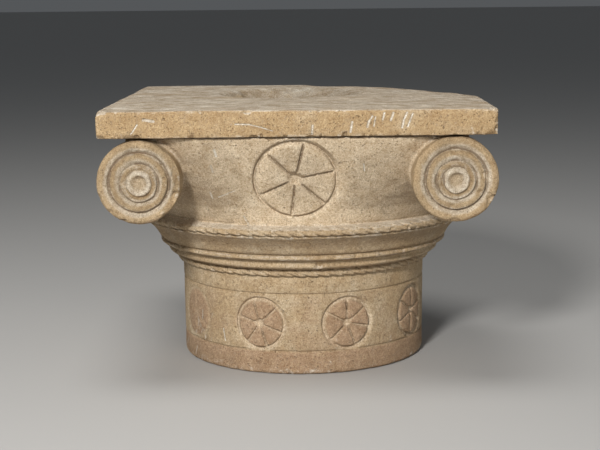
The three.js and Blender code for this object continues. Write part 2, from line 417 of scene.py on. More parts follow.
def small_chip(rng, centre, kind):
    """A chip's centre, size and squash, its size and squash drawn at random."""
    size = kind["least"] + kind["more"] * rng.random() ** kind["rarity"]
    squash = 0.8 + 0.9 * rng.random(3)
    return np.array(centre, np.float32), size, squash.astype(np.float32)


class Block:
    """Distance to the carved stone's surface, negative inside, and what the carving took."""

    def __init__(self, sizes):
        self.sizes = sizes
        self.drum = Profile(drum_profile())
        self.bolsters = [Profile(bolster_profile(b["radius"])) for b in BOLSTERS]
        self.coarse = Noise(11)
        self.fine = Noise(23)
        self.rosettes = self.place_rosettes()
        chips = self.place_chips()
        self.chip_centres = np.array([chip[0] for chip in chips], np.float32)
        self.chip_sizes = np.array([chip[1] for chip in chips], np.float32)
        self.chip_squashes = np.array([chip[2] for chip in chips], np.float32)

    def place_rosettes(self):
        """The neck's rosettes by their angle from the front; the leftmost is almost worn away."""
        placed = dict(NECK_ROSETTE_LINES)
        for i in range(BACK_ROSETTES["count"]):
            at = BACK_ROSETTES["first"] + BACK_ROSETTES["step"] * i
            placed[at] = [17 * i + 60 * k + 5 * math.sin(3 * i + 2 * k) for k in range(6)]
        size, depth = self.sizes.neck_rosette / MM, self.sizes.neck_rosette_depth / MM
        return [
            {
                "at": math.radians(at),
                "size": size,
                "groove": NECK_GROOVE,
                "depth": depth * (WORN_DEPTH if at == WORN_ROSETTE else 1),
                "eye": NECK_EYE,
                "lines": lines,
            }
            for at, lines in placed.items()
        ]

    def neck_places(self, p):
        """Each neck rosette with the places near it, across and up from its centre."""
        x, y, z = p.T
        around = np.arctan2(x - AXIS_X, -y)
        up = z - NECK_ROSETTE_HEIGHT
        on_neck = (np.abs(up) < 55) & (np.hypot(x - AXIS_X, y) > 150)
        for rosette in self.rosettes if on_neck.any() else ():
            turn = (around - rosette["at"] + math.pi) % (2 * math.pi) - math.pi
            reach = ROSETTE_REACH * rosette["size"]
            near = np.flatnonzero(on_neck & (np.hypot(turn * NECK_RADIUS, up) < reach))
            if len(near):
                yield rosette, near, turn[near] * NECK_RADIUS, up[near]

    def strands(self, p, rope, count):
        """Depth of the slanting grooves that part a rope moulding's strands."""
        x, y, z = p.T
        turn = np.arctan2(x - AXIS_X, -y) / (2 * math.pi) * count
        strand = 2 * math.pi * rope["radius"] / count
        phase = turn + (z - rope["height"]) / strand * STRAND_SLANT
        ridge = np.abs(np.sin(math.pi * phase))
        cut = STRAND_GROOVE["depth"] * (1 - ridge) ** STRAND_GROOVE["sharpness"]
        return cut * smooth(*rope["fade"], np.abs(z - rope["middle"]))

    def carving(self, p):
        """Depth of the rosettes carved into the drum's and the neck's faces."""
        x, y, z = p.T
        carved = np.zeros(len(p), np.float32)
        for rosette, near, across, up in self.neck_places(p):
            carved[near] = np.maximum(carved[near], rosette_depth(across, up, rosette))
        size, depth = self.sizes.great_rosette / MM, self.sizes.great_rosette_depth / MM
        great = {**GREAT_ROSETTE, "size": size, "depth": depth}
        across, up = x - great["x"], (z - great["height"]) * great["slope"]
        near = np.flatnonzero((np.hypot(across, up) < ROSETTE_REACH * size) & (np.abs(y) > 190))
        if len(near):
            carved[near] = rosette_depth(across[near] * np.sign(-y[near]), up[near], great)
        return carved

    def upper_drum(self, p):
        """The drum between the ledge and the slab."""
        x, y, z = p.T
        heights, depths, powers = (np.array(v, np.float32) for v in zip(*DRUM_LEVELS))
        power = np.interp(z, heights, powers).astype(np.float32)
        along = np.abs(x - AXIS_X) / DRUM_HALF_WIDTH
        deep = np.abs(y) / np.interp(z, heights, depths).astype(np.float32)
        share = (along**power + deep**power) ** (1 / power)
        side = (share - 1) * DRUM_HALF_WIDTH
        return np.maximum(side, np.maximum(DRUM_FOOT - z, z - SLAB_UNDERSIDE - 10))

    def slab(self, p, hollow):
        """The slab with worn edges, a hollow in its top and its front left corner rubbed off."""
        x, y, z = p.T
        top = HEIGHT - 0.4 - 0.5 * self.coarse(p, 90) - hollow
        under = SLAB_UNDERSIDE + x * SLAB_RISE
        sideways, endways = np.abs(x) - SLAB_HALF_WIDTH, np.abs(y) - SLAB_HALF_DEPTH + 0.2
        flank = soft_cut(sideways, endways, SLAB_ROUNDING["upright"])
        to_left, to_front = -(x + SLAB_HALF_WIDTH), -(y + SLAB_HALF_DEPTH)
        rubbed = RUBBED_CORNER["left"] * to_left + RUBBED_CORNER["front"] * to_front
        rubbed = rubbed + RUBBED_CORNER["up"] * (z - HEIGHT) + RUBBED_CORNER["depth"]
        flank = soft_cut(flank, rubbed + 0.8 * self.fine(p, 7), 1.5)
        wear = SLAB_ROUNDING["top"] + SLAB_ROUNDING["uneven"] * self.coarse(p, 45)
        upper = soft_cut(flank, z - top, wear)
        return soft_cut(upper, under - z, SLAB_ROUNDING["under"])

    def hollow(self, p):
        """How far the rough hollow lies below the slab's top."""
        x, y = p[:, 0] - HOLLOW["x"], p[:, 1] - HOLLOW["y"]
        wobble = 1 + 0.07 * self.coarse(p * (1, 1, 0), 60) + 0.03 * self.fine(p * (1, 1, 0), 18)
        across, along = x / HOLLOW["half_width"], y / HOLLOW["half_depth"]
        share = np.hypot(across, along) / wobble
        right = smooth(-0.6, 1.0, across)
        wall = HOLLOW_WALL["left"] + (HOLLOW_WALL["right"] - HOLLOW_WALL["left"]) * right
        depth = self.sizes.hollow_depth / MM * (1 - smooth(1 - wall, 1.0, share))
        depth = depth * (1.05 - HOLLOW_WALL["shallower"] * right)
        rough = self.fine(p * (1, 1, 0), 9) * 1.6 + self.coarse(p * (1, 1, 0), 22) * 1.6
        return depth + rough * smooth(0, 5, depth)

    def broken(self, p):
        """Distance outside the broken face, positive where the stone is gone."""
        x, y, z = p.T
        down = HEIGHT - z
        lean = np.interp(down, *zip(*BREAK_LEAN)).astype(np.float32)
        u, v = x - BREAK_OUT[0] * lean, y - BREAK_OUT[1] * lean
        best = np.full(len(x), 1e9, np.float32)
        sign = np.ones(len(x), np.float32)
        for (ax, ay), (bx, by) in zip(BREAK_LINE, BREAK_LINE[1:]):
            ex, ey = bx - ax, by - ay
            t = np.clip(((u - ax) * ex + (v - ay) * ey) / (ex * ex + ey * ey), 0, 1)
            dx, dy = u - ax - t * ex, v - ay - t * ey
            gap = dx * dx + dy * dy
            nearer = gap < best
            best = np.where(nearer, gap, best)
            sign = np.where(nearer, np.sign(ex * dy - ey * dx), sign)
        face = np.sqrt(best) * sign
        rough = 3.2 * self.coarse.layered(p + 91, 34, 3, 0.55) + 0.8 * self.fine(p, 5)
        return face + rough

    def chips(self, p, stone):
        """Small breaks along the edges: each is a rough ball taken out of the stone."""
        low, high = p.min(0), p.max(0)
        reaches = 1.5 * self.chip_sizes[:, None] * self.chip_squashes
        seen = (self.chip_centres + reaches > low) & (self.chip_centres - reaches < high)
        for i in np.flatnonzero(seen.all(1)):
            centre, size, squash = self.chip_centres[i], self.chip_sizes[i], self.chip_squashes[i]
            reach = reaches[i]
            near = np.flatnonzero((np.abs(p - centre) < reach).all(1))
            if len(near):
                q = p[near]
                rough = 0.24 * size * self.fine(q, 6) + 0.12 * size * self.fine(q + 11, 3)
                gap = np.linalg.norm((q - centre) / squash, axis=1)
                stone[near] = soft_cut(stone[near], (size - gap) * squash.min() + rough, 0.8)
        return stone

    def place_chips(self):
        """Named chips, and small ones at random along the stone's edges."""
        listed = [(np.array(c, np.float32), s, np.array(q, np.float32)) for c, s, q in CHIPS]
        rng = np.random.default_rng(5)
        top, under, w, d = HEIGHT, SLAB_UNDERSIDE, SLAB_HALF_WIDTH, SLAB_HALF_DEPTH
        sides = []
        for z in (top, under):
            sides += [((-w, -d, z), (w, -d, z)), ((-w, -d, z), (-w, d, z))]
            sides += [((w, -d, z), (w, -40, z)), ((-w, d, z), (10, d, z))]
        sides += [((-w, -d, under), (-w, -d, top)), ((w, -d, under), (w, -d, top))]
        for start, end in sides:
            start, end = np.array(start), np.array(end)
            for _ in range(int(np.linalg.norm(end - start) / SLAB_CHIPS["spacing"]) + 1):
                centre = start + (end - start) * rng.random() + rng.normal(0, 0.7, 3)
                listed.append(small_chip(rng, centre, SLAB_CHIPS))
        for radius, z, count in MOULDING_CHIPS["rings"]:
            for _ in range(count):
                turn = 2 * math.pi * rng.random()
                x, y = AXIS_X + radius * math.cos(turn), radius * math.sin(turn)
                centre = (x, y, z + rng.normal(0, 1.5))
                listed.append(small_chip(rng, centre, MOULDING_CHIPS))
        for place in BOLSTERS:
            for _ in range(DISC_CHIPS["count"]):
                turn = 2 * math.pi * rng.random()
                on_rim = rng.random() < DISC_CHIPS["on_rim"]
                radius = place["radius"] * (1 if on_rim else DISC_CHIPS["inner_ring"])
                x, z = place["x"] + radius * math.cos(turn), place["z"] + radius * math.sin(turn)
                y = BOLSTER_END * (1 if rng.random() < DISC_CHIPS["at_back"] else -1)
                listed.append(small_chip(rng, (x, y, z), DISC_CHIPS))
        return listed

    def relief(self, p):
        """Whether the points lie on the rosettes, the ropes or the discs' rings."""
        y, z = p[:, 1], p[:, 2]
        ropes = (np.abs(z - UPPER_ROPE["middle"]) < 7) | (np.abs(z - LOWER_ROPE["middle"]) < 6)
        discs = (np.abs(y) > BOLSTER_END - 11) & (z < SLAB_UNDERSIDE)
        return (self.carving(p.astype(np.float32)) > 0.2) | ropes | discs

    def skin(self, p):
        """How far the old outer skin is kept: 1 where the relief is not cut in."""
        x, y, z = p.T
        cut = self.carving(p) / 3
        for place in BOLSTERS:
            share = np.hypot(x - place["x"], z - place["z"]) / place["radius"]
            face = (np.abs(y) > BOLSTER_END - 12) & (share < 1.05)
            share = share + 0.025 * self.fine(p, 9)
            cut = np.where(face, 1 - np.interp(share, *zip(*RING_SKIN)), cut)
        return 1 - np.clip(cut, 0, 1)

    def grit(self, p, hollow, broken):
        """How rough and pitted the stone is."""
        total = np.clip(hollow / 4, 0, 1)
        for centre, size, strength in GRITTY:
            centre, size = np.array(centre, np.float32), np.array(size, np.float32)
            near = (np.abs(p - centre) < 1.4 * size).all(1)

            def patch(q):
                gap = np.linalg.norm((q - centre) / size, axis=1)
                return smooth(1.15, 0.55, gap + 0.25 * self.coarse(q, 14)) * strength

            total = np.maximum(total, within(near, p, patch, 0))
        return np.maximum(total, smooth(-5, -2, broken))

    def hollow_near(self, p):
        return within(p[:, 2] > SLAB_UNDERSIDE, p, self.hollow, 0)

    def broken_near(self, p):
        near = (p[:, 0] > BREAK_LINE[0][0] - 30) & (p[:, 1] > BREAK_LINE[-1][1] - 30)
        near &= p[:, 2] > HEIGHT - BREAK_LEAN[-1][0] - 40
        return within(near, p, self.broken, -30)

    def petal_mask(self, p):
        """1 on the neck's rosettes."""
        total = np.zeros(len(p), np.float32)
        for rosette, near, across, up in self.neck_places(p):
            size = rosette["size"]
            inside = smooth(size, size - 3, np.hypot(across, up))
            total[near] = np.maximum(total[near], inside)
        return total

    def bolster(self, p, place, profile):
        """One bolster, whose rings lie a little below and to the right of its rim's centre."""
        x, y, z = p.T
        across, up = x - place["x"], z - place["z"]
        share = np.clip(1 - np.hypot(across, up) / place["radius"], 0, 1)
        across, up = across - RING_SHIFT[0] * share, up + RING_SHIFT[1] * share
        wobble = 0.7 * self.fine(p + 19, 16)
        disc = profile(np.hypot(across, up) + wobble * np.minimum(1, 4 * share), y)
        flat = z - (SLAB_UNDERSIDE + SLAB_RISE * x - BOLSTER_GAP)
        return soft_cut(disc, flat, 1)

    def __call__(self, p, detail=True):
        """Distance from the finished surface, negative in the stone."""
        p = p.astype(np.float32)
        warp = 0.9 * self.coarse(p + 5, 120)
        x, y, z = p.T
        radius = np.hypot(x - AXIS_X, y) + warp
        stone = self.drum(radius, z + 0.5 * warp)
        stone = soft_join(stone, within(z > DRUM_FOOT - 8, p, self.upper_drum, 99), 2)
        if detail:
            carved = self.carving(p)
            counts = (self.sizes.upper_strands, self.sizes.lower_strands)
            for rope, count in zip((UPPER_ROPE, LOWER_ROPE), counts):
                cut = self.strands(p, rope, count) * (radius > rope["inner"])
                carved = np.maximum(carved, cut)
            stone = stone + carved
        hollow, broken = self.hollow_near(p), self.broken_near(p)
        webs = np.full(len(p), 99, np.float32)
        for place, profile in zip(BOLSTERS, self.bolsters):
            stone = soft_join(stone, self.bolster(p, place, profile), BOLSTER_FILLET)
            aside = np.abs(x - place["x"]) - WEB["half_width"]
            web = np.maximum(aside, np.abs(y) - (BOLSTER_END - WEB["set_back"]))
            webs = np.minimum(webs, np.maximum(web, np.maximum(z - HEIGHT + 8, WEB["bottom"] - z)))
        stone = np.minimum(stone, soft_join(self.slab(p, hollow), webs, 1.5))
        stone = np.maximum(stone, broken)
        if not detail:
            return stone
        grit = self.grit(p, hollow, broken)
        rough = (0.25 + 0.6 * grit) * self.fine(p, 13) + 0.75 * grit * self.fine(p + 3, 5)
        stone = stone + rough * smooth(*PLAIN_BACK, y)
        return np.maximum(self.chips(p, stone), -z)


# Small chips at random: least size, how much larger the largest are, and how rare those are.
SLAB_CHIPS = {"spacing": 17, "least": 1.6, "more": 2.6, "rarity": 3}
MOULDING_CHIPS = {
    "least": 1.4,
    "more": 2.2,
    "rarity": 2,
    "rings": ((203, 165, 34), (192, 153, 26), (171, 0, 30), (232, 202, 16)),
}
DISC_CHIPS = {
    "least": 1.4,
    "more": 2.0,
    "rarity": 2,
    "count": 44,
    "on_rim": 0.6,
    "inner_ring": 0.63,
    "at_back": 0.3,
}
# Centre, size and squash of each larger chip.
CHIPS = (
    ((-153, -261, 292), 8, (1, 1, 1)),
    ((-151, -261, 281), 10, (0.9, 0.9, 1)),
    ((-150, -261, 270), 10, (0.9, 0.9, 1)),
    ((-151, -261, 260), 9, (1, 1, 1)),
    ((-154, -260, 252), 8, (1, 1, 0.8)),
    ((242, -258, 248), 8, (0.9, 0.9, 1)),
    ((197, -259, 220.5), 7, (1.5, 0.9, 0.7)),
    ((250, -262, 337), 6, (0.8, 0.9, 1)),
    ((242, -262, 329), 6, (1.2, 0.9, 0.8)),
)
# Centre, half sizes and strength of the patches of rough, pitted stone.
GRITTY = (
    ((-105, -215, 270), (58, 60, 60), 0.5),
    ((100, -220, 262), (50, 60, 52), 0.65),
    ((-153, -258, 272), (14, 12, 26), 1.0),
    ((-199, -258, 272), (60, 12, 60), 0.6),
    ((199, -258, 274), (60, 12, 60), 0.55),
    ((-3, -235, 272), (50, 30, 50), 0.4),
    ((3, 0, 14), (180, 180, 16), 0.45),
)


# ---- From the distance field to a mesh ----


# The block is measured in cubes of so many steps a side, a few thousand at a time.
CUBE = 4
HALF_DIAGONAL = 0.87
BATCH = 4000


def carve(block, voxel):
    """The block's surface as points in millimetres and four-cornered faces."""
    margin = 8
    low = np.array([LOW.x / MM, LOW.y / MM, 0]) - margin
    span = np.array([HIGH.x / MM, HIGH.y / MM, HIGH.z / MM]) + margin - low
    cells = np.ceil(span / (voxel * CUBE)).astype(int)
    size = voxel * CUBE
    index = np.stack(np.meshgrid(*(np.arange(c) for c in cells), indexing="ij"), -1)
    centres = low + (index + 0.5) * size - 0.5 * voxel
    rough = block(centres.reshape(-1, 3), detail=False).reshape(cells)
    near = np.argwhere(np.abs(rough) < size * HALF_DIAGONAL + 5)
    near = near[np.lexsort((near // 12).T)]
    band = 3 * voxel
    field = np.where(rough > 0, band, -band).astype(np.float32)
    for axis in range(3):
        field = np.repeat(field, CUBE, axis)
    view = field.reshape(cells[0], CUBE, cells[1], CUBE, cells[2], CUBE)
    steps = np.stack(np.meshgrid(*(np.arange(CUBE),) * 3, indexing="ij"), -1)
    for start in range(0, len(near), BATCH):
        part = near[start : start + BATCH]
        corner = low + part * size
        points = corner[:, None] + steps.reshape(1, -1, 3) * voxel
        value = block(points.reshape(-1, 3))
        value = np.clip(value, -band, band).reshape(-1, CUBE, CUBE, CUBE)
        view[part[:, 0], :, part[:, 1], :, part[:, 2], :] = value
    grid = openvdb.FloatGrid()
    grid.background = band
    grid.copyFromArray(field)
    points, quads = grid.convertToQuads(0.0)
    return low + points * voxel, quads


# How readily corners are merged, those behind being 1, where behind starts, and how much that
# weighs against the change of shape.
FRONT_SPARE = 0.75
RELIEF_SPARE = 0.05
BEHIND = -60
CARE = 1e-6


def mesh_from(block, points, quads, triangles):
    """A smooth mesh object in metres, with about that many triangles at most."""
    mesh = bpy.data.meshes.new("capital_stone")
    mesh.vertices.add(len(points))
    mesh.vertices.foreach_set("co", (points * MM).astype(np.float32).ravel())
    mesh.loops.add(quads.size)
    mesh.loops.foreach_set("vertex_index", quads.ravel())
    mesh.polygons.add(len(quads))
    mesh.polygons.foreach_set("loop_start", np.arange(len(quads)) * 4)
    mesh.update(calc_edges=True)
    piece = bpy.data.objects.new(PIECE, mesh)
    bpy.context.scene.collection.objects.link(piece)
    if 2 * len(quads) > triangles:
        spare = piece.vertex_groups.new(name="spare")
        behind = points[:, 1] > BEHIND
        relief = ~behind & block.relief(points)
        for share, chosen in ((1, behind), (FRONT_SPARE, ~behind & ~relief), (RELIEF_SPARE, relief)):
            spare.add(np.flatnonzero(chosen).tolist(), share, "REPLACE")
        thin = piece.modifiers.new("thin", "DECIMATE")
        thin.ratio = triangles / (2 * len(quads))
        thin.vertex_group = spare.name
        thin.vertex_group_factor = CARE
        graph = bpy.context.evaluated_depsgraph_get()
        lighter = bpy.data.meshes.new_from_object(piece.evaluated_get(graph))
        piece.modifiers.clear()
        piece.data = lighter
        bpy.data.meshes.remove(mesh)
    piece.data.name = "capital_stone"
    piece.data.shade_smooth()
    return piece


def read_vertices(mesh, what):
    values = np.empty(len(mesh.vertices) * 3, np.float32)
    if what == "co":
        mesh.vertices.foreach_get("co", values)
    else:
        mesh.vertex_normals.foreach_get("vector", values)
    return values.reshape(-1, 3)


def write_mask(mesh, name, values):
    layer = mesh.attributes.new(name, "FLOAT", "POINT")
    layer.data.foreach_set("value", np.clip(values, 0, 1).astype(np.float32))


# How far out of the stone a recess is felt, with each reach's share, and how far in an edge is.
RECESS_REACHES = ((3, 0.3), (8, 0.35), (20, 0.35))
EDGE_REACH = 5


def mark_surface(piece, block):
    """Masks for the stone's finish: recesses, worn edges, skin, gritty stone and breaks."""
    mesh = piece.data
    points = read_vertices(mesh, "co") / MM
    normals = read_vertices(mesh, "normal")
    recess = np.zeros(len(points), np.float32)
    for reach, share in RECESS_REACHES:
        there = block(points + normals * reach)
        recess += share * np.clip(1 - there / reach, 0, 1)
    edge = np.clip(1 + block(points - normals * EDGE_REACH) / EDGE_REACH, 0, 1)
    write_mask(mesh, "recess", recess)
    write_mask(mesh, "edge", edge)
    write_mask(mesh, "skin", block.skin(points))
    hollow, broken = block.hollow_near(points), block.broken_near(points)
    write_mask(mesh, "grit", block.grit(points, hollow, broken))
    write_mask(mesh, "broken", smooth(-5, -2, broken))
    write_mask(mesh, "petal", block.petal_mask(points))
    low_drum = points[:, 2] > DRUM_FOOT - 4
    write_mask(mesh, "drum", smooth(7, 1, within(low_drum, points, block.upper_drum, 99)))


# ---- Shader helpers ----


def node(tree, kind, inputs=None, **settings):
    """A node with its settings, its inputs given as values or as sockets to link from."""
    made = tree.nodes.new(kind)
    for key, value in settings.items():
        setattr(made, key, value)
    for key, value in (inputs or {}).items():
        if isinstance(value, bpy.types.NodeSocket):
            tree.links.new(value, made.inputs[key])
        else:
            made.inputs[key].default_value = value
    return made


def maths(tree, operation, a, b=0.0, c=0.0):
    made = node(tree, "ShaderNodeMath", {0: a, 1: b, 2: c}, operation=operation)
    return made.outputs[0]


def ramp(tree, value, low, high, start=0.0, end=1.0):
    """A smooth step of value from low to high."""
    made = node(
        tree,
        "ShaderNodeMapRange",
        {"Value": value, "From Min": low, "From Max": high, "To Min": start, "To Max": end},
        interpolation_type="SMOOTHSTEP",
    )
    return made.outputs["Result"]


def mix(tree, share, a, b, blend="MIX"):
    made = node(
        tree,
        "ShaderNodeMix",
        {0: share, 6: a, 7: b},
        data_type="RGBA",
        blend_type=blend,
    )
    return made.outputs[2]


def noise(tree, place, scale, detail=4.0, roughness=0.55, distortion=0.0):
    made = node(
        tree,
        "ShaderNodeTexNoise",
        {
            "Vector": place,
            "Scale": scale,
            "Detail": detail,
            "Roughness": roughness,
            "Distortion": distortion,
        },
    )
    return made.outputs["Fac"]


def mask(tree, name):
    return node(tree, "ShaderNodeAttribute", attribute_name=name).outputs["Fac"]


def new_group(name, inputs, outputs):
    """A shader group with named inputs and outputs, and its two end nodes."""
    group = bpy.data.node_groups.new(name, "ShaderNodeTree")
    for label, kind, default in inputs:
        made = group.interface.new_socket(label, in_out="INPUT", socket_type=kind)
        if default is not None:
            made.default_value = default
    for label, kind in outputs:
        group.interface.new_socket(label, in_out="OUTPUT", socket_type=kind)
    return group, group.nodes.new("NodeGroupInput"), group.nodes.new("NodeGroupOutput")


def use_group(tree, group, inputs):
    return node(tree, "ShaderNodeGroup", inputs, node_tree=group)


def pits_group():
    """Small round holes, spread in patches."""
    group, given, result = new_group(
        "Stone Pits",
        (
            ("Vector", "NodeSocketVector", None),
            ("Scale", "NodeSocketFloat", 200.0),
            ("Size", "NodeSocketFloat", 0.3),
            ("Amount", "NodeSocketFloat", 0.5),
        ),
        (("Mask", "NodeSocketFloat"),),
    )
    warped = node(
        group,
        "ShaderNodeTexVoronoi",
        {"Vector": given.outputs["Vector"], "Scale": given.outputs["Scale"]},
    )
    low = maths(group, "MULTIPLY", given.outputs["Size"], 0.45)
    hole = node(
        group,
        "ShaderNodeMapRange",
        {
            "Value": warped.outputs["Distance"],
            "From Min": given.outputs["Size"],
            "From Max": low,
        },
        interpolation_type="SMOOTHSTEP",
    ).outputs["Result"]
    pick = node(group, "ShaderNodeSeparateColor", {"Color": warped.outputs["Color"]})
    kept = maths(group, "LESS_THAN", pick.outputs[0], given.outputs["Amount"])
    group.links.new(maths(group, "MULTIPLY", hole, kept), result.inputs["Mask"])
    return group


def stain_group():
    """Cloudy patches with broken borders."""
    group, given, result = new_group(
        "Stone Stain",
        (
            ("Vector", "NodeSocketVector", None),
            ("Scale", "NodeSocketFloat", 10.0),
            ("Cover", "NodeSocketFloat", 0.5),
            ("Softness", "NodeSocketFloat", 0.12),
        ),
        (("Mask", "NodeSocketFloat"),),
    )
    cloud = noise(group, given.outputs["Vector"], given.outputs["Scale"], 7.0, 0.62, 0.6)
    middle = maths(group, "SUBTRACT", 1.0, given.outputs["Cover"])
    low = maths(group, "SUBTRACT", middle, given.outputs["Softness"])
    high = maths(group, "ADD", middle, given.outputs["Softness"])
    group.links.new(ramp(group, cloud, low, high), result.inputs["Mask"])
    return group


def scratch_group():
    """One scratch: a thin line between two places, broken up along its length."""
    group, given, result = new_group(
        "Scratch",
        (
            ("Vector", "NodeSocketVector", None),
            ("Start", "NodeSocketVector", None),
            ("End", "NodeSocketVector", None),
            ("Width", "NodeSocketFloat", 0.001),
            ("Wobble", "NodeSocketFloat", 0.5),
        ),
        (("Mask", "NodeSocketFloat"),),
    )

    def vector(operation, a, b):
        return node(group, "ShaderNodeVectorMath", {0: a, 1: b}, operation=operation)

    place, start = given.outputs["Vector"], given.outputs["Start"]
    line = vector("SUBTRACT", given.outputs["End"], start).outputs[0]
    way = vector("SUBTRACT", place, start).outputs[0]
    along = vector("DOT_PRODUCT", way, line).outputs["Value"]
    length = vector("DOT_PRODUCT", line, line).outputs["Value"]
    share = maths(group, "DIVIDE", along, length)
    share = node(group, "ShaderNodeClamp", {"Value": share}).outputs[0]
    nearest = node(group, "ShaderNodeVectorMath", {0: line, "Scale": share}, operation="SCALE")
    gap = vector("SUBTRACT", way, nearest.outputs[0]).outputs[0]
    distance = node(group, "ShaderNodeVectorMath", {0: gap}, operation="LENGTH")
    ratio = maths(group, "DIVIDE", distance.outputs["Value"], given.outputs["Width"])
    ratio = maths(group, "ADD", ratio, maths(group, "MULTIPLY", given.outputs["Wobble"], 1.1))
    group.links.new(ramp(group, ratio, 1.35, 0.85), result.inputs["Mask"])
    return group


def on_neck(degrees, height):
    """A place on the neck's round face, in millimetres."""
    turn = math.radians(degrees)
    return (AXIS_X + NECK_RADIUS * math.sin(turn), -NECK_RADIUS * math.cos(turn), height)


def on_drum(x, height):
    """A place on the front of the drum's upper part, in millimetres."""
    heights, *shapes = zip(*DRUM_LEVELS)
    half_depth, power = (float(np.interp(height, heights, shape)) for shape in shapes)
    share = 1 - (abs(x - AXIS_X) / DRUM_HALF_WIDTH) ** power
    return (x, -half_depth * share ** (1 / power), height)


def scratch_lines():
    """Starts, ends and widths of the scratches, in millimetres on the stone."""
    front = -SLAB_HALF_DEPTH
    on_slab = (
        (-198, 346, -204, 337, 1.3),
        (-204, 337, -211, 329, 0.9),
        (-190, 352, -178, 350, 2.4),
        (-76, 345.6, -59, 345.2, 1.3),
        (-59, 345.2, -44, 341.5, 1.0),
        (-44, 341.5, -30, 337, 0.9),
        (19, 329, 20, 343, 1.8),
        (67, 335, 69, 347, 1.9),
        (88, 341, 90, 348, 2.0),
        (90, 348, 94, 354, 1.6),
        (96, 342, 98, 353, 1.3),
        (107, 350, 109, 358, 1.7),
        (117, 349, 120, 358, 1.9),
        (131, 340, 133, 349, 1.8),
        (133, 349, 137, 358, 1.7),
        (138, 341, 141, 349, 1.4),
        (141, 349, 144, 357, 1.5),
    )
    lines = [((x, front, z), (u, front, v), w) for x, z, u, v, w in on_slab]
    on_front = (
        (-104, 312, -102, 304, 2.1),
        (-109.5, 291, -107.5, 283, 1.9),
        (-112.6, 254, -110, 246, 1.7),
        (-70, 221, -63.5, 209.5, 1.9),
        (-102, 248, -90, 253, 1.2),
        (-90, 253, -80, 257.5, 1.0),
        (84, 292, 85, 283, 1.2),
    )
    for x, low, end_x, high, width in on_front:
        lines.append((on_drum(x, low), on_drum(end_x, high), width))
    rng = np.random.default_rng(8)
    for _ in range(22):
        turn, height = -58 + 8 * rng.normal(), 48 + 17 * rng.normal()
        lean, length = rng.normal(-0.25, 0.35), 9 + 9 * rng.random()
        drift = math.degrees(length * math.sin(lean) / NECK_RADIUS)
        end = on_neck(turn + drift, height - length * math.cos(lean))
        lines.append((on_neck(turn, height), end, 0.7 + 0.7 * rng.random()))
    return lines


# Heights, in millimetres, over which one finish gives way to the next.
LEDGE_FADES = ((204.5, 206.5), (216, 213))
DRUM_FADE = (204.5, 208)
SLAB_FADE = (SLAB_UNDERSIDE - 1, SLAB_UNDERSIDE + 3)
DISC_FADE = (327.5, 326.5)
NECK_FADE = (112, 100)
PETAL_FADE = (30, 34)
FOOT_FADE = (33, 29)
CHALK_FADE = (14, 3)
BRUISE_FADE = (324, 328)
# Distances from the middle, front to back, over which the discs' faces begin.
FACE_FADE = (248, 251)

PIT_SIZES = (
    {"Scale": 170.0, "Size": 0.26, "Amount": 0.12},
    {"Scale": 390.0, "Size": 0.36, "Amount": 0.25},
)
SCRATCH_WIDTH = 1.3
BUMP_HEIGHT = 0.0018


